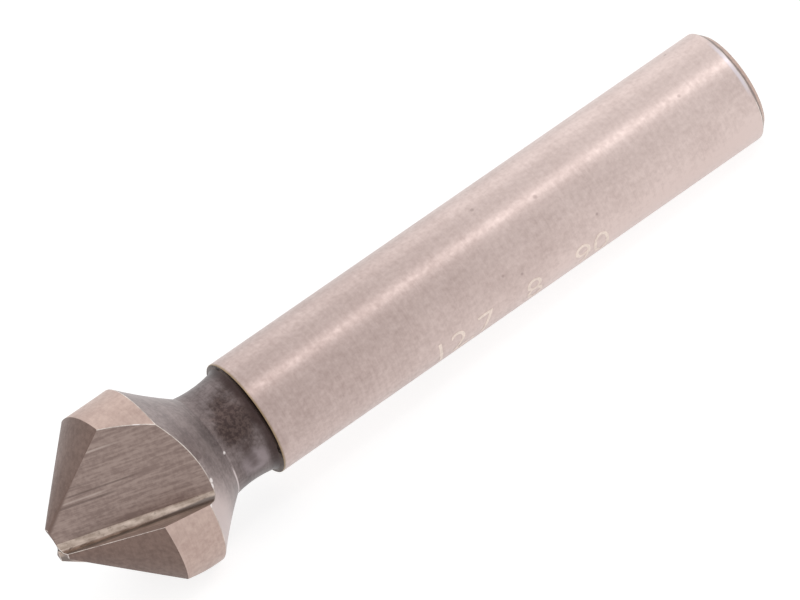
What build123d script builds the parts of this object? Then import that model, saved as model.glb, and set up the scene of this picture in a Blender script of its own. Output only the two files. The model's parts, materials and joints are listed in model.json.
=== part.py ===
from build123d import *
import math
import os

# A three-flute countersink bit: one piece of high-speed steel, turned and then ground.
# Lengths are in millimetres and angles in degrees. The bit is built about its own axis, with its
# tip at Z = 0 and its shank above. It is laid down, as it comes to rest, only at the very end.

# Head: the point, the lands round it and the ground back
head_diameter = 12.7
point_angle = 90.0
tip_diameter = 2.94
land_length = 3.25
back_length = 3.1
back_hollow = 0.08

# Neck: waisted, from the back of the head to the shoulder
neck_depth = 0.45
neck_length = 3.2
neck_waist = 0.13
shoulder_flat = 0.05

# Shank
shank_diameter = 8.0
shank_length = 38.6
end_chamfer = 0.5

# Flutes: each is ground by a wheel with a wedge-shaped rim, which runs along a straight line
# that starts beside the tip's centre and climbs out through the back of the head
flute_count = 3
flute_slope = 31.3
flute_offset = 0.25
flute_start = 0.12
flute_angle = 86.0
rake_turn = -17.5
root_radius = 0.5

# Relief: each cone face is ground about a centre this far off the axis, so that it falls away
# behind its cutting edge
relief_offset = 0.38

# How far a cutting shape overruns the steel that it removes
overrun = 2.0

head_radius = head_diameter / 2
tip_radius = tip_diameter / 2
shank_radius = shank_diameter / 2
neck_radius = shank_radius - neck_depth
cone_slope = math.tan(math.radians(point_angle / 2))
cone_height = (head_radius - tip_radius) / cone_slope
land_end = cone_height + land_length
neck_start = land_end + back_length
shoulder = neck_start + neck_length
overall_length = shoulder + shank_length
flute_pitch = 360 / flute_count
reach = head_diameter + overrun

# Where the wheel runs: local Z lies along the root of the flute, and local X leans away from
# the axis
wheel_path = Location((flute_start, flute_offset, 0), (0, flute_slope, 0))


def blank():
    """The turned bit, before any flute is cut: half its section, spun about the axis."""
    shoulder_fillet = neck_depth - shoulder_flat
    cone_corner = (head_radius, cone_height)
    land_corner = (head_radius, land_end)
    neck_corner = (neck_radius, neck_start)
    fillet_start = (neck_radius, shoulder - shoulder_fillet)
    fillet_end = (neck_radius + shoulder_fillet, shoulder)
    rim = (shank_radius, shoulder)
    chamfer_start = (shank_radius, overall_length - end_chamfer)
    chamfer_end = (shank_radius - end_chamfer, overall_length)
    axis_ends = ((0, overall_length), (0, 0))
    with BuildPart() as turned:
        with BuildSketch(Plane.XZ):
            with BuildLine():
                Polyline((0, 0), (tip_radius, 0), cone_corner, land_corner)
                SagittaArc(land_corner, neck_corner, back_hollow)
                SagittaArc(neck_corner, fillet_start, neck_waist)
                RadiusArc(fillet_start, fillet_end, shoulder_fillet)
                Polyline(fillet_end, rim, chamfer_start, chamfer_end, *axis_ends)
            make_face()
        revolve(axis=Axis.Z)
    return turned.part


def wheel():
    """What one pass of the grinding wheel removes, with the small radius of its rim."""
    rake_side = reach * wheel_direction(rake_turn)
    flat_side = reach * wheel_direction(rake_turn - flute_angle)
    with BuildPart() as cut:
        with BuildSketch():
            with BuildLine():
                FilletPolyline(rake_side, (0, 0), flat_side, radius=root_radius)
                Line(flat_side, rake_side)
            make_face()
        extrude(amount=reach + land_end, both=True)
    return wheel_path * cut.part


def wheel_direction(turn):
    """A unit direction square to the root, turned about it by the given angle."""
    return Vector(1, 0, 0).rotate(Axis.Z, turn)


def edge_angle(turn, height):
    """Where a flute's face meets the head's full radius, as an angle about the tool's axis."""
    square = wheel_direction(turn + 90)
    normal = (wheel_path * Location(square)).position - wheel_path.position
    offset = normal.dot(wheel_path.position) - normal.Z * height
    across = math.hypot(normal.X, normal.Y)
    lean = math.degrees(math.atan2(normal.Y, normal.X))
    return lean - math.degrees(math.acos(offset / (head_radius * across)))


def relief():
    """What is ground off behind one cutting edge: all outside a cone that stands off centre."""
    tooth_half = (heel_angle + flute_pitch - lip_angle) / 2
    tooth_middle = lip_angle + tooth_half
    lead = relief_offset * math.sin(math.radians(tooth_half))
    apex = (lead - tip_radius) / cone_slope
    height = cone_height + overrun - apex
    with BuildPart() as third:
        with BuildSketch(Plane.XY.offset(apex)):
            with BuildLine():
                arc = CenterArc((0, 0), reach, tooth_middle - flute_pitch / 2, flute_pitch)
                Polyline(arc @ 1, (0, 0), arc @ 0)
            make_face()
        extrude(amount=height)
    cone = Cone(0, height * cone_slope, height, align=(Align.CENTER, Align.CENTER, Align.MIN))
    off_centre = Location((0, 0, apex), (0, 0, tooth_middle - 90)) * Pos(relief_offset, 0, 0)
    return third.part - off_centre * cone


def resting_place(bit):
    """Where the bit lies: on a lip corner, the heel corner across its flute and the shank's rim.

    A level floor touches all three once the direction "down", square to the tool's axis, points
    down and the axis dips towards the end of the shank. The origin ends up under the middle.
    """
    rim_height = overall_length - end_chamfer
    lip = Vector(head_radius, 0).rotate(Axis.Z, lip_angle)
    heel = Vector(head_radius, 0).rotate(Axis.Z, land_heel_angle)
    chord = lip * (rim_height - land_end) - heel * (rim_height - cone_height)
    spread = math.acos(-shank_radius * land_length / chord.length)
    down = math.atan2(chord.Y, chord.X) - spread
    drop = head_radius * math.cos(down - math.radians(lip_angle)) - shank_radius
    dip = math.atan2(drop, rim_height - cone_height)
    laid_x = (-math.sin(dip), 0, -math.cos(dip))
    laid_z = (math.cos(dip), 0, -math.sin(dip))
    laid = Plane((0, 0, 0), x_dir=laid_x, z_dir=laid_z).location * Rot(0, 0, -math.degrees(down))
    box = (laid * bit).bounding_box()
    return Pos(-box.center().X, -box.center().Y, -box.min.Z) * laid


# The corners that the bit lies on, as angles about the tool's axis
lip_angle = edge_angle(rake_turn, cone_height)
heel_angle = edge_angle(rake_turn - flute_angle, cone_height)
land_heel_angle = edge_angle(rake_turn - flute_angle, land_end)

bit = blank()
for number in range(flute_count):
    turn = Rot(0, 0, number * flute_pitch)
    bit = bit - turn * relief()
    bit = bit - turn * wheel()

os.makedirs("parts", exist_ok=True)
export_step(resting_place(bit) * bit, "parts/countersink_bit.step")
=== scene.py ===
"""A three-flute countersink bit, 12.7 mm across its head on an 8 mm shank.

It lies at rest on a pale floor. Lengths are in millimetres until a place goes to Blender,
and "the bit's own frame" has its origin at the tip with +Z along the axis to the shank's end.
"""
import json
import math

import bmesh
import bpy
from mathutils import Matrix, Vector


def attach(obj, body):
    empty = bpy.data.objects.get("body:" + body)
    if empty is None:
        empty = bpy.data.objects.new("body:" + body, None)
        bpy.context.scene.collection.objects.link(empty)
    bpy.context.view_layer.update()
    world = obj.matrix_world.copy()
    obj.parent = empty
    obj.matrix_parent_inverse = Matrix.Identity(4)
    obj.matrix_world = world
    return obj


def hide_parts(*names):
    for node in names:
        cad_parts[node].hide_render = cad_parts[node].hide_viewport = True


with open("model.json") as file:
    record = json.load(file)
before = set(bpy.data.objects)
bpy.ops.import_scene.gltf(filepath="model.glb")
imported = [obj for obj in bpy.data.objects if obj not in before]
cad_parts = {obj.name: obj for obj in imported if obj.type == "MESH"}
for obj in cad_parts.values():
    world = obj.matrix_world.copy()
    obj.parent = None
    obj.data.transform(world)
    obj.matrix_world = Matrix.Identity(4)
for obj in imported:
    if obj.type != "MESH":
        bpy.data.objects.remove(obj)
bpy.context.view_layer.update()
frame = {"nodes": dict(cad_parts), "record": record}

MM = 0.001

# ---------------------------------------------------------------- the bit's own frame

HEAD_RADIUS = 6.35
SHANK_RADIUS = 4.0

# Places along the axis, from the tip
NECK_START = 11.23
SHOULDER = 14.43
CLAMP = 33.48
END_CHAMFER = 52.53

# How far the bit is turned about its axis as it lies
RESTING_TURN = math.radians(29.76865)

# The flutes: each has a straight sloping root, with a rake face on one side and a broad flat
# face on the other, turned about the root by these angles. Each carries a map of this name.
FLUTES = 3
FLUTE_PITCH = math.radians(360.0 / FLUTES)
FLUTE_SLOPE = math.radians(31.3)
FLUTE_ANGLE = math.radians(86.0)
RAKE_TURN = math.radians(-17.5)
FLAT_TURN = RAKE_TURN - FLUTE_ANGLE
FLUTE_MAP = "flute"


def own_frame():
    """Where the bit's tip lies, in metres, and the directions of its own X, Y and Z."""
    clamp = next(m for m in frame["record"]["mounts"] if m["name"] == "shank")
    axis = Vector(clamp["axis"]).normalized()
    tip = Vector(clamp["pos_m"]) - axis * CLAMP * MM
    down = Vector((axis.z, 0.0, -axis.x))
    side = Vector((0.0, 1.0, 0.0))
    x = down * math.cos(RESTING_TURN) + side * math.sin(RESTING_TURN)
    return tip, Matrix((x, axis.cross(x), axis))


def own_spot(place):
    """A place in metres, as a place in the bit's own frame."""
    return TO_OWN @ (place - TIP) / MM


def square_to_root(turn):
    """A direction square to the first flute's root, turned about the root by an angle."""
    away = Vector((math.cos(FLUTE_SLOPE), 0.0, -math.sin(FLUTE_SLOPE)))
    return away * math.cos(turn) + Vector((0.0, math.sin(turn), 0.0))


TIP, TO_OWN = own_frame()
FLUTE_TURNS = [Matrix.Rotation(FLUTE_PITCH * flute, 3, "Z") for flute in range(FLUTES)]
FLAT_NORMAL = square_to_root(FLAT_TURN + math.radians(90.0))


# ---------------------------------------------------------------- shader maths


class Wire:
    """One node socket, so that arithmetic on it adds Math nodes."""

    def __init__(self, shader, socket):
        self.shader = shader
        self.socket = socket

    def _math(self, operation, *values):
        sockets = dict(enumerate(values))
        return self.shader.node("ShaderNodeMath", {"operation": operation}, sockets)

    def __add__(self, other):
        return self._math("ADD", self, other)

    def __radd__(self, other):
        return self._math("ADD", other, self)

    def __sub__(self, other):
        return self._math("SUBTRACT", self, other)

    def __rsub__(self, other):
        return self._math("SUBTRACT", other, self)

    def __mul__(self, other):
        return self._math("MULTIPLY", self, other)

    def __rmul__(self, other):
        return self._math("MULTIPLY", other, self)

    def __abs__(self):
        return self._math("ABSOLUTE", self)

    def larger(self, other):
        return self._math("MAXIMUM", self, other)

    def ramp(self, low, high, out_low=0.0, out_high=1.0):
        """A smooth step from out_low, below low, to out_high, above high."""
        ends = {"From Min": low, "From Max": high, "To Min": out_low, "To Max": out_high}
        settings = {"interpolation_type": "SMOOTHSTEP"}
        return self.shader.node("ShaderNodeMapRange", settings, {"Value": self, **ends})


class Shader:
    """The nodes of a material or of the world."""

    # The Mix node's sockets for colours share their names with others, so they go by number
    MIX_FACTOR, MIX_A, MIX_B, MIX_RESULT = 0, 6, 7, 2
    # How deep the finest relief on the steel is, in metres
    RELIEF_DEPTH = 0.02 * MM

    def __init__(self, owner):
        owner.use_nodes = True
        self.owner = owner
        self.tree = owner.node_tree
        self.tree.nodes.clear()

    def node(self, kind, settings=None, sockets=None, out=0):
        """Adds a node: its settings first, then the values or links of its sockets.

        Gives the output that out names, or a list of outputs where out is a tuple.
        """
        node = self.tree.nodes.new(kind)
        for name, value in (settings or {}).items():
            setattr(node, name, value)
        for name, value in (sockets or {}).items():
            if isinstance(value, Wire):
                self.tree.links.new(value.socket, node.inputs[name])
            else:
                node.inputs[name].default_value = value
        if isinstance(out, tuple):
            return [Wire(self, node.outputs[name]) for name in out]
        return Wire(self, node.outputs[out]) if node.outputs else None

    def mix(self, factor, a, b):
        """Colour a where the factor is 0, and colour b where it is 1."""
        sockets = {self.MIX_FACTOR: factor, self.MIX_A: self._rgba(a), self.MIX_B: self._rgba(b)}
        return self.node("ShaderNodeMix", {"data_type": "RGBA"}, sockets, out=self.MIX_RESULT)

    def _rgba(self, colour):
        return colour if isinstance(colour, Wire) else (*colour, 1.0)

    def own_place(self):
        """Object coordinates turned into the bit's own frame, in millimetres."""
        place = self.node("ShaderNodeTexCoord", out="Object")
        turn = TO_OWN.transposed().to_euler()
        sockets = {"Vector": place, "Location": TIP, "Rotation": turn, "Scale": (MM, MM, MM)}
        return self.node("ShaderNodeMapping", {"vector_type": "TEXTURE"}, sockets)

    def flute_place(self):
        """The map of the flutes that flute_map lays: along the root, and across from it."""
        return self.node("ShaderNodeUVMap", {"uv_map": FLUTE_MAP})

    def stretched(self, place, scale):
        sockets = {"Vector": place, "Scale": scale}
        return self.node("ShaderNodeMapping", {"vector_type": "POINT"}, sockets)

    def noise(self, place, scale, detail=2.0, rough=0.5):
        sockets = {"Vector": place, "Scale": scale, "Detail": detail, "Roughness": rough}
        return self.node("ShaderNodeTexNoise", {"noise_dimensions": "3D"}, sockets)

    def away(self, place, spot):
        """How far a place is from a spot of the bit, in millimetres."""
        sockets = {0: place, 1: spot}
        return self.node("ShaderNodeVectorMath", {"operation": "DISTANCE"}, sockets, out="Value")

    def axes(self, place):
        return self.node("ShaderNodeSeparateXYZ", None, {"Vector": place}, out=("X", "Y", "Z"))

    def surface(self, **sockets):
        """The Principled surface and the material's output."""
        named = {name.replace("_", " "): value for name, value in sockets.items()}
        face = self.node("ShaderNodeBsdfPrincipled", None, named)
        self.node("ShaderNodeOutputMaterial", None, {"Surface": face})

    def bare_steel(self, colour, roughness, height, relief):
        """Bare steel, with a fine relief that follows a height. Gives the finished material."""
        sockets = {"Height": height, "Strength": relief, "Distance": self.RELIEF_DEPTH}
        normal = self.node("ShaderNodeBump", None, sockets)
        self.surface(Base_Color=colour, Metallic=1.0, Roughness=roughness, Normal=normal)
        return self.owner


# ---------------------------------------------------------------- camera, floor and light

CAMERA_PLACE = Vector((-111.382, -360.213, 219.651))
CAMERA_RIGHT = Vector((0.7749845, -0.48272515, -0.40789148))
CAMERA_UP = Vector((0.5770722, 0.27739063, 0.76814199))
LENS = 312.966
SENSOR_WIDTH = 36.0

# How bright the world looks, and how much it lights the bit
BACKDROP = 1.0
WORLD_LIGHT = 0.65

# The floor, in metres, and the glow that lifts its grey to white as it is seen
FLOOR_HALF_WIDTH = 3.0
FLOOR_GREY = 0.4
FLOOR_GLOW = 0.8


def make_camera():
    data = bpy.data.cameras.new("camera")
    data.sensor_width = SENSOR_WIDTH
    data.lens = LENS
    data.clip_start, data.clip_end = 0.01, 20.0
    camera = bpy.data.objects.new("camera", data)
    back = CAMERA_RIGHT.cross(CAMERA_UP)
    turn = Matrix((CAMERA_RIGHT, CAMERA_UP, back)).transposed().to_4x4()
    camera.matrix_world = Matrix.Translation(CAMERA_PLACE * MM) @ turn
    bpy.context.scene.collection.objects.link(camera)
    bpy.context.scene.camera = camera


def seen_as_backdrop(shader):
    """1 for the camera and for what gloss and glass show, 0 for the light that falls on things."""
    rays = ("Is Camera Ray", "Is Glossy Ray", "Is Transmission Ray")
    camera, glossy, through = shader.node("ShaderNodeLightPath", out=rays)
    return camera.larger(glossy).larger(through)


def make_world():
    world = bpy.data.worlds.new("studio")
    bpy.context.scene.world = world
    shader = Shader(world)
    strength = seen_as_backdrop(shader) * (BACKDROP - WORLD_LIGHT) + WORLD_LIGHT
    sockets = {"Color": (1.0, 1.0, 1.0, 1.0), "Strength": strength}
    light = shader.node("ShaderNodeBackground", None, sockets)
    shader.node("ShaderNodeOutputWorld", None, {"Surface": light})


def make_floor():
    """A pale floor that looks white where no shadow falls on it."""
    bm = bmesh.new()
    bmesh.ops.create_grid(bm, x_segments=1, y_segments=1, size=FLOOR_HALF_WIDTH)
    mesh = bpy.data.meshes.new("floor")
    bm.to_mesh(mesh)
    bm.free()
    floor = bpy.data.objects.new("floor", mesh)
    bpy.context.scene.collection.objects.link(floor)
    material = bpy.data.materials.new("pale_floor")
    shader = Shader(material)
    shader.surface(
        Base_Color=(FLOOR_GREY, FLOOR_GREY, FLOOR_GREY, 1.0),
        Roughness=0.9,
        Specular_IOR_Level=0.0,
        Emission_Color=(1.0, 1.0, 1.0, 1.0),
        Emission_Strength=seen_as_backdrop(shader) * FLOOR_GLOW,
    )
    mesh.materials.append(material)


def make_lamp(name, towards, distance, size, power):
    """A soft rectangular lamp, its long side along the bit, aimed at the bit's middle."""
    data = bpy.data.lights.new(name, "AREA")
    data.shape = "RECTANGLE"
    data.size, data.size_y = size
    data.energy = power
    lamp = bpy.data.objects.new(name, data)
    back = Vector(towards).normalized()
    across = back.cross(Vector((1.0, 0.0, 0.0))).normalized()
    along = across.cross(back)
    turn = Matrix((along, across, back)).transposed().to_4x4()
    lamp.matrix_world = Matrix.Translation(back * distance) @ turn
    bpy.context.scene.collection.objects.link(lamp)


def make_lamps():
    """Two soft lamps. Distances and sizes are in metres, and powers in watts."""
    make_lamp("strip", (0.285, -0.395, 0.873), 0.6, (0.5, 0.1), 0.23)
    make_lamp("high_back", (0.1, 0.75, 0.66), 0.8, (0.8, 0.5), 0.3)


# ---------------------------------------------------------------- finishes

# Colours of the steel. Where there are two, the grain wanders from the dark to the pale one.
SHANK_TONES = (0.43, 0.33, 0.305), (0.70, 0.575, 0.54)
LAND_TONES = (0.47, 0.345, 0.305), (0.58, 0.445, 0.39)
# Painted shade: the cones are darkened as if their faces reflected dark surroundings
CONE_SHADE_TONES = (0.165, 0.113, 0.097), (0.225, 0.156, 0.132)
FLAT_TONES = (0.245, 0.18, 0.16), (0.345, 0.265, 0.235)
ROOT_TONES = (0.33, 0.255, 0.21), (0.62, 0.51, 0.44)
RAKE_TONES = (0.45, 0.36, 0.325), (0.59, 0.49, 0.45)
BACK_TONES = (0.25, 0.205, 0.2), (0.375, 0.31, 0.3)
NECK_TONES = (0.12, 0.093, 0.09), (0.22, 0.18, 0.178)
STAIN_TONES = (0.05, 0.033, 0.031), (0.095, 0.065, 0.058)
RIM_TONES = (0.07, 0.047, 0.039), (0.11, 0.08, 0.07)
GILT_TONES = (0.26, 0.18, 0.1), (0.4, 0.3, 0.18)
END_TONES = (0.44, 0.31, 0.26), (0.6, 0.44, 0.37)
MARK_TONES = (0.74, 0.64, 0.58), (0.92, 0.8, 0.72)
# The broken edges: pale as worn steel, and paler still as a painted highlight along them
EDGE_WEAR_AND_HIGHLIGHT_TONES = (0.36, 0.3, 0.27), (0.88, 0.8, 0.74)
BURNT = (0.27, 0.19, 0.1)
# A painted highlight on the shank's polished rim, just before the chamfer
POLISHED_HIGHLIGHT = (0.72, 0.67, 0.72)
PIT = (0.25, 0.18, 0.17)
NICK = (0.86, 0.8, 0.78)
DARK_SCRATCH = (0.12, 0.085, 0.075)
PALE_SCRATCH = (0.5, 0.41, 0.37)
FLAT_BAND = (0.18, 0.126, 0.108)
ROOT_SPOT = (0.16, 0.12, 0.1)
ROOT_LINE = (0.225, 0.186, 0.168)
NECK_RUBBED = (0.34, 0.285, 0.295)
NECK_DARK = (0.07, 0.048, 0.045)
SHOULDER_DARK = (0.05, 0.032, 0.03)
BACK_PALE_SIDE = (0.68, 0.57, 0.55)
# A painted highlight along the corner between the head's back and the neck
BACK_CORNER_HIGHLIGHT = (0.75, 0.66, 0.65)
CHAMFER_DARK = (0.2, 0.165, 0.16)

# Spots of wear: places in the bit's own frame, with a radius where spots differ
SHANK_PITS = (
    ((-3.92, 0.77, 33.26), 0.14),
    ((-2.14, -3.37, 32.31), 0.11),
    ((-1.54, -3.69, 33.51), 0.12),
    ((-3.86, -1.01, 36.86), 0.16),
    ((-1.98, -3.48, 39.68), 0.11),
    ((-3.88, -0.95, 48.42), 0.13),
    ((-3.07, 2.56, 50.05), 0.12),
)
NICKS = (
    ((-3.33, -4.12, 9.2), 0.2),
    ((-3.17, -4.38, 9.02), 0.22),
    ((-3.25, -5.45, 8.12), 0.28),
    ((-6.32, 0.35, 7.2), 0.3),
    ((-2.48, -2.57, 11.21), 0.13),
)
# Where the painted highlight on the shank's polished rim lies
SHANK_END_HIGHLIGHT = (-3.7, -1.2, 52.5)
NECK_STAIN = (-3.05, -1.35, 12.95)
NECK_RUB = (-0.75, -3.3, 12.9)
NECK_STREAK = (
    (-2.05, -2.74, 12.5),
    (-1.6, -3.02, 12.6),
    (-1.15, -3.22, 12.68),
    (-0.7, -3.35, 12.72),
)

# Scratches on a flute's flat face, in the flute's map: how far from the root, where they start
# and end along it, how wide they are and how strong
DARK_SCRATCHES = (
    (2.38, 0.7, 5.5, 0.09, 1.0),
    (2.92, 1.5, 7.0, 0.07, 1.0),
    (3.4, 1.6, 4.0, 0.06, 0.7),
)
PALE_SCRATCHES = (
    (5.08, 3.3, 6.4, 0.08, 1.0),
    (2.6, 1.0, 4.8, 0.07, 0.8),
)


def grain(shader, place, scale):
    """The tone and the height of satin steel: a mottle, rings round the axis and broad clouds."""
    mottle = shader.noise(place, scale, detail=3.0, rough=0.65)
    rings = shader.noise(shader.stretched(place, (0.35, 0.35, 9.0)), 1.0, detail=3.0, rough=0.6)
    cloud = shader.noise(place, 0.35)
    return mottle * 0.55 + rings * 0.2 + cloud * 0.25, mottle * 0.6 + rings * 0.4


def nicked(shader, place, colour):
    """Small bright nicks, where the steel has been knocked."""
    for spot, size in NICKS:
        nick = shader.away(place, spot).ramp(size * 0.5, size, 0.9, 0.0)
        colour = shader.mix(nick, colour, NICK)
    return colour


def ground_steel(name, tones, roughness, scale=3.0, knocked=False):
    """Satin steel off the grinding wheel."""
    shader = Shader(bpy.data.materials.new(name))
    place = shader.own_place()
    tone, height = grain(shader, place, scale)
    colour = shader.mix(tone.ramp(0.32, 0.68), *tones)
    if knocked:
        colour = nicked(shader, place, colour)
    rough = tone.ramp(0.3, 0.7, roughness + 0.05, roughness - 0.05)
    return shader.bare_steel(colour, rough, height, 0.25)


def shank_steel():
    """The shank: brighter towards its far end, with painted reflections along its underside and
    top, a painted highlight by its end, and a few small pits.
    """
    shader = Shader(bpy.data.materials.new("shank_steel"))
    place = shader.own_place()
    x, y, z = shader.axes(place)
    tone, height = grain(shader, place, 3.0)
    far = z.ramp(13.0, 51.0)
    # Painted reflections: paler along the underside, as if it reflected a bright floor close
    # beneath, and a little paler along the top
    under_reflection = (x * 0.342 - y * 0.94).ramp(2.2, 4.1)
    top_reflection = (y * 0.94 - x * 0.342).ramp(-0.5, 3.0)
    share = (tone - 0.5) * 1.65 + far * 0.55 + under_reflection * 0.45 + top_reflection * 0.22 + 0.14
    colour = shader.mix(share, *SHANK_TONES)
    burnt = z.ramp(SHOULDER + 0.04, SHOULDER + 0.19, 0.75, 0.0)
    colour = shader.mix(burnt, colour, BURNT)
    # A painted highlight: a pale patch on one side of the polished rim just before the chamfer
    near_end = z.ramp(END_CHAMFER - 0.33, END_CHAMFER - 0.18)
    end_highlight = shader.away(place, SHANK_END_HIGHLIGHT).ramp(1.2, 2.6, 0.75, 0.0)
    colour = shader.mix(near_end * end_highlight, colour, POLISHED_HIGHLIGHT)
    for spot, size in SHANK_PITS:
        pit = shader.away(place, spot).ramp(size * 0.4, size * 1.3, 0.45, 0.0)
        colour = shader.mix(pit, colour, PIT)
    return shader.bare_steel(colour, tone.ramp(0.3, 0.7, 0.39, 0.3), height, 0.3)


def wheel_lines(shader, along):
    """The tone and the height of the long fine lines that the grinding wheel leaves in a flute."""
    fine = shader.noise(shader.stretched(along, (0.5, 5.0, 1.0)), 1.0, rough=0.6)
    broad = shader.noise(shader.stretched(along, (0.18, 2.2, 1.0)), 1.0)
    speck = shader.noise(along, 3.2, rough=0.6)
    return fine * 0.5 + broad * 0.2 + speck * 0.3, fine * 0.7 + broad * 0.3


def scratches(u, v, lines):
    """The strength of a set of straight scratches along the flute, and 0 off them."""
    found = 0.0
    for at, start, end, width, strength in lines:
        across = abs(v - at).ramp(width * 0.4, width, strength, 0.0)
        line = across * u.ramp(start, start + 0.4) * u.ramp(end - 1.5, end, 1.0, 0.0)
        found = line.larger(found)
    return found


def flat_steel():
    """A flute's flat face: wheel lines, a few scratches, and a darker band beside the cone."""
    shader = Shader(bpy.data.materials.new("flute_steel"))
    along = shader.flute_place()
    u, v, _ = shader.axes(along)
    tone, height = wheel_lines(shader, along)
    colour = shader.mix(tone.ramp(0.38, 0.62), *FLAT_TONES)
    colour = shader.mix(scratches(u, v, DARK_SCRATCHES) * 0.55, colour, DARK_SCRATCH)
    colour = shader.mix(scratches(u, v, PALE_SCRATCHES) * 0.6, colour, PALE_SCRATCH)
    band = (v - u * 0.98 - 1.33).ramp(-0.15, 0.15)
    colour = shader.mix(band, colour, FLAT_BAND)
    return shader.bare_steel(colour, tone.ramp(0.3, 0.7, 0.46, 0.36), height, 0.35)


def root_steel():
    """A flute's root, bright, and the steep face beyond it, with a dark line between."""
    shader = Shader(bpy.data.materials.new("root_steel"))
    along = shader.flute_place()
    u, v, _ = shader.axes(along)
    tone, height = wheel_lines(shader, along)
    wear = shader.noise(shader.stretched(along, (1.1, 1.6, 1.0)), 1.0, detail=3.0)
    root = shader.mix((tone * 0.4 + wear * 0.6).ramp(0.36, 0.64), *ROOT_TONES)
    spots = shader.noise(along, 1.9, detail=3.0, rough=0.7).ramp(0.56, 0.7)
    root = shader.mix(spots * 0.6, root, ROOT_SPOT)
    rake = shader.mix(tone.ramp(0.36, 0.64), *RAKE_TONES)
    edge = v - u * 0.095 + 0.81 + (wear - 0.5) * 0.25
    colour = shader.mix(edge.ramp(-0.1, 0.12), ROOT_LINE, root)
    colour = shader.mix(edge.ramp(-0.75, -0.4, 1.0, 0.0), colour, rake)
    return shader.bare_steel(colour, tone.ramp(0.3, 0.7, 0.4, 0.3), height, 0.35)


def skin_steel():
    """The head's back and the neck: turned, stained dark on one side and paler on another, with a
    painted highlight along the corner between them.
    """
    shader = Shader(bpy.data.materials.new("neck_skin"))
    place = shader.own_place()
    x, y, z = shader.axes(place)
    rings = shader.noise(shader.stretched(place, (0.3, 0.3, 7.0)), 1.0, detail=3.0, rough=0.6)
    smear = shader.noise(place, 0.9, detail=3.0, rough=0.6)
    speck = shader.noise(place, 4.0, detail=3.0, rough=0.65)
    tone = (rings * 0.25 + smear * 0.35 + speck * 0.4).ramp(0.36, 0.64)
    wander = (smear - 0.5) * 2.2
    back = shader.mix(tone, *BACK_TONES)
    neck = shader.mix(tone, *NECK_TONES)
    colour = shader.mix((z + wander * 0.6).ramp(10.3, 12.2), back, neck)
    colour = stained(shader, place, colour, wander, speck)
    shoulder = z.ramp(SHOULDER - 0.88, SHOULDER - 0.28, 0.0, 0.85)
    colour = shader.mix(shoulder, colour, SHOULDER_DARK)
    side = (x * 0.1 - y).ramp(3.4, 5.2, 0.0, 0.8) * z.ramp(9.0, NECK_START - 0.23, 1.0, 0.25)
    colour = shader.mix(side, colour, BACK_PALE_SIDE)
    # A painted highlight along the corner between the back and the neck, on one side
    line = abs(z - NECK_START).ramp(0.02, 0.09, 0.8, 0.0) * (0.0 - y).ramp(3.1, 3.4)
    colour = nicked(shader, place, shader.mix(line, colour, BACK_CORNER_HIGHLIGHT))
    return shader.bare_steel(colour, 0.38, rings * 0.6 + speck * 0.4, 0.3)


def stained(shader, place, colour, wander, speck):
    """The neck's dark stain, the rubbed patch beside it and the dark streak between them."""
    murk = shader.mix(speck.ramp(0.4, 0.6), *STAIN_TONES)
    stain = (shader.away(place, NECK_STAIN) + wander).ramp(0.9, 2.3, 0.88, 0.0)
    colour = shader.mix(stain, colour, murk)
    rub = (shader.away(place, NECK_RUB) + wander * 0.4).ramp(0.6, 1.2, 0.65, 0.0)
    colour = shader.mix(rub, colour, NECK_RUBBED)
    for spot in NECK_STREAK:
        streak = (shader.away(place, spot) + wander * 0.3).ramp(0.1, 0.6, 0.6, 0.0)
        colour = shader.mix(streak, colour, NECK_DARK)
    return colour


def end_steel():
    """The shank's end: its chamfer dark next to the shank, and brown beyond and on the face."""
    shader = Shader(bpy.data.materials.new("end_steel"))
    place = shader.own_place()
    _, _, z = shader.axes(place)
    tone, height = grain(shader, place, 2.5)
    colour = shader.mix(tone.ramp(0.32, 0.68), *END_TONES)
    wavy = z + (tone - 0.5) * 0.25
    dark = wavy.ramp(END_CHAMFER + 0.13, END_CHAMFER + 0.23, 0.8, 0.0)
    colour = shader.mix(dark, colour, CHAMFER_DARK)
    return shader.bare_steel(colour, 0.4, height, 0.25)


def make_finishes():
    """The finishes in the order of the bit's material slots."""
    return {
        "shank": shank_steel(),
        "land": ground_steel("land_steel", LAND_TONES, 0.42, scale=2.4),
        "cone": ground_steel("cone_steel", CONE_SHADE_TONES, 0.45),
        "flat": flat_steel(),
        "root": root_steel(),
        "skin": skin_steel(),
        "rim": ground_steel("rim_skin", RIM_TONES, 0.45),
        "gilt": ground_steel("rim_edge", GILT_TONES, 0.4),
        "end": end_steel(),
        "mark": ground_steel("etched_steel", MARK_TONES, 0.5),
        "edge": ground_steel("edge_steel", EDGE_WEAR_AND_HIGHLIGHT_TONES, 0.38, scale=1.1, knocked=True),
    }


# ---------------------------------------------------------------- the bit

# Points of the CAD mesh that are closer than MERGE become one, and faces that bend by less than
# LEVEL are joined
MERGE = 0.055
LEVEL = math.radians(0.3)

# Edges sharper than this are broken, this wide
EDGE_ANGLE = math.radians(20.0)
EDGE_WIDTH = 0.032

# How the map lies on the first flute: where the root starts, the direction of the root, and the
# direction that climbs across the flat face and falls across the rake face
ROOT_START = Vector((0.12, 0.25, 0.0))
ALONG_ROOT = Vector((math.sin(FLUTE_SLOPE), 0.0, math.cos(FLUTE_SLOPE)))
ACROSS_FLUTE = square_to_root(FLAT_TURN) - square_to_root(RAKE_TURN)

# The numbers on the shank: the head, the shank and the point's angle. Their foot is a heading
# round the axis. They are cut into bands so that they bend round the shank.
MARKING = "12.7   8   90"
MARKING_SIZE = 2.9
MARKING_START = 26.0
MARKING_FOOT = math.radians(289.0)
MARKING_THINNING = -0.025
MARKING_HALF_DEPTH = 0.012
MARKING_SINK = 0.006
MARKING_BAND = 0.15
MARKING_BANDS = range(-4, 20)


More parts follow.
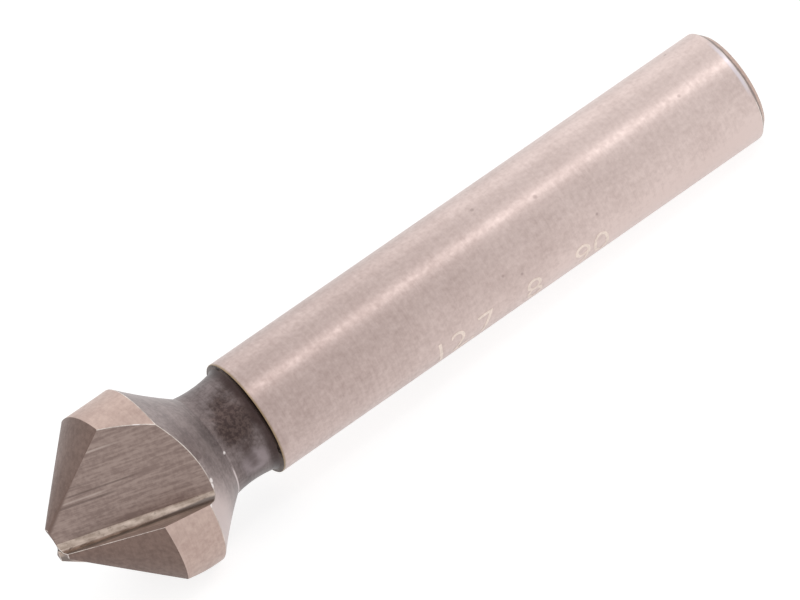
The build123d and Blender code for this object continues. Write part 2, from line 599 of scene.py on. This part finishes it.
def region(face):
    """Which of the bit's surfaces a face of the CAD mesh belongs to."""
    centre = own_spot(face.calc_center_median())
    normal = TO_OWN @ face.normal
    radius = math.hypot(centre.x, centre.y)
    along_axis = abs(normal.z) < 0.1
    if centre.z > END_CHAMFER:
        return "end"
    if centre.z > NECK_START:
        if along_axis and radius > SHANK_RADIUS - 0.03:
            return "shank"
        return "rim" if normal.z < -0.8 else "skin"
    if normal.z > 0.3:
        return "skin"
    if any(normal.dot(turn @ FLAT_NORMAL) > 0.999 for turn in FLUTE_TURNS):
        return "flat"
    if along_axis and radius > HEAD_RADIUS - 0.05:
        return "land"
    return "cone" if normal.z < -0.55 else "root"


def flute_map(bm):
    """Lays the map along each flute, in millimetres along its root and nearly so across it."""
    layer = bm.loops.layers.uv.new(FLUTE_MAP)
    for face in bm.faces:
        normal = TO_OWN @ face.normal
        heading = math.atan2(normal.y, normal.x)
        turn = FLUTE_TURNS[round(heading / FLUTE_PITCH + 0.5) % FLUTES]
        for loop in face.loops:
            spot = own_spot(loop.vert.co) @ turn - ROOT_START
            loop[layer].uv = (spot.dot(ALONG_ROOT), spot.dot(ACROSS_FLUTE))


def break_edges(bm, slots):
    """Takes the sharpness off every edge, and gives the new narrow faces their finishes."""
    sharp = [e for e in bm.edges if e.is_manifold and e.calc_face_angle() > EDGE_ANGLE]
    made = bmesh.ops.bevel(
        bm,
        geom=sharp,
        offset=EDGE_WIDTH * MM,
        offset_type="OFFSET",
        affect="EDGES",
        segments=2,
        profile=0.5,
        clamp_overlap=False,
        material=-1,
    )
    finish_edges(set(made["faces"]), slots)


def finish_edges(made, slots):
    """Gives each face of the broken edges the finish that its neighbours ask for."""
    beside = {face: {slots[f.material_index] for f in around(face) - made} for face in made}
    chosen = {}
    for face in made:
        near = set().union(*(beside.get(other, set()) for other in around(face)))
        chosen[face] = finish_of_edge(near)
    for face, finish in chosen.items():
        face.smooth = True
        if finish:
            face.material_index = slots.index(finish)


def around(face):
    """A face and those that share an edge with it."""
    return {other for edge in face.edges for other in edge.link_faces}


def finish_of_edge(near):
    """The finish of a broken edge, from the finishes beside it, or None where it keeps its own."""
    if near <= {"skin", "rim"}:
        return None
    if "rim" in near:
        return "gilt"
    if "cone" in near and near & {"flat", "land"}:
        return "cone"
    return "land" if near == {"root", "land"} else "edge"


def make_numbers():
    """The numbers as a flat mesh, in millimetres, cut into bands."""
    text = bpy.data.curves.new("marking", "FONT")
    text.body = MARKING
    text.size = MARKING_SIZE
    text.offset = MARKING_THINNING
    text.extrude = MARKING_HALF_DEPTH
    text.resolution_u = 4
    lettering = bpy.data.objects.new("marking", text)
    mesh = bpy.data.meshes.new_from_object(lettering)
    bpy.data.objects.remove(lettering)
    bpy.data.curves.remove(text)
    numbers = bmesh.new()
    numbers.from_mesh(mesh)
    bpy.data.meshes.remove(mesh)
    bmesh.ops.remove_doubles(numbers, verts=numbers.verts, dist=0.0005)
    for band in MARKING_BANDS:
        foot = (0.0, band * MARKING_BAND, 0.0)
        geom = numbers.verts[:] + numbers.edges[:] + numbers.faces[:]
        bmesh.ops.bisect_plane(numbers, geom=geom, plane_co=foot, plane_no=(0.0, 1.0, 0.0))
    return numbers


def add_marking(bm, slot):
    """Etches the numbers along the shank."""
    numbers = make_numbers()
    for vert in numbers.verts:
        x, y, z = vert.co
        heading = MARKING_FOOT - y / SHANK_RADIUS
        radius = SHANK_RADIUS + z - MARKING_SINK
        spot = Vector((radius * math.cos(heading), radius * math.sin(heading), MARKING_START + x))
        vert.co = TIP + (spot * MM) @ TO_OWN
    for face in numbers.faces:
        face.material_index = slot
    mesh = bpy.data.meshes.new("numbers")
    numbers.to_mesh(mesh)
    numbers.free()
    bm.from_mesh(mesh)
    bpy.data.meshes.remove(mesh)


def make_bit():
    node = frame["nodes"]["countersink_bit"]
    bm = bmesh.new()
    bm.from_mesh(node.data)
    bmesh.ops.remove_doubles(bm, verts=bm.verts, dist=MERGE * MM)
    bmesh.ops.dissolve_limit(bm, angle_limit=LEVEL, verts=bm.verts, edges=bm.edges)
    finishes = make_finishes()
    slots = list(finishes)
    for face in bm.faces:
        face.material_index = slots.index(region(face))
        face.smooth = True
    flute_map(bm)
    break_edges(bm, slots)
    add_marking(bm, slots.index("mark"))
    mesh = bpy.data.meshes.new("bit")
    bm.to_mesh(mesh)
    bm.free()
    for material in finishes.values():
        mesh.materials.append(material)
    bit = bpy.data.objects.new("bit", mesh)
    bpy.context.scene.collection.objects.link(bit)
    weighted = bit.modifiers.new("even_shading", "WEIGHTED_NORMAL")
    weighted.keep_sharp = True
    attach(bit, "root")
    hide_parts("countersink_bit")


# ---------------------------------------------------------------- putting it together

bpy.context.scene.view_settings.view_transform = "Standard"
make_camera()
make_world()
make_floor()
make_lamps()
make_bit()
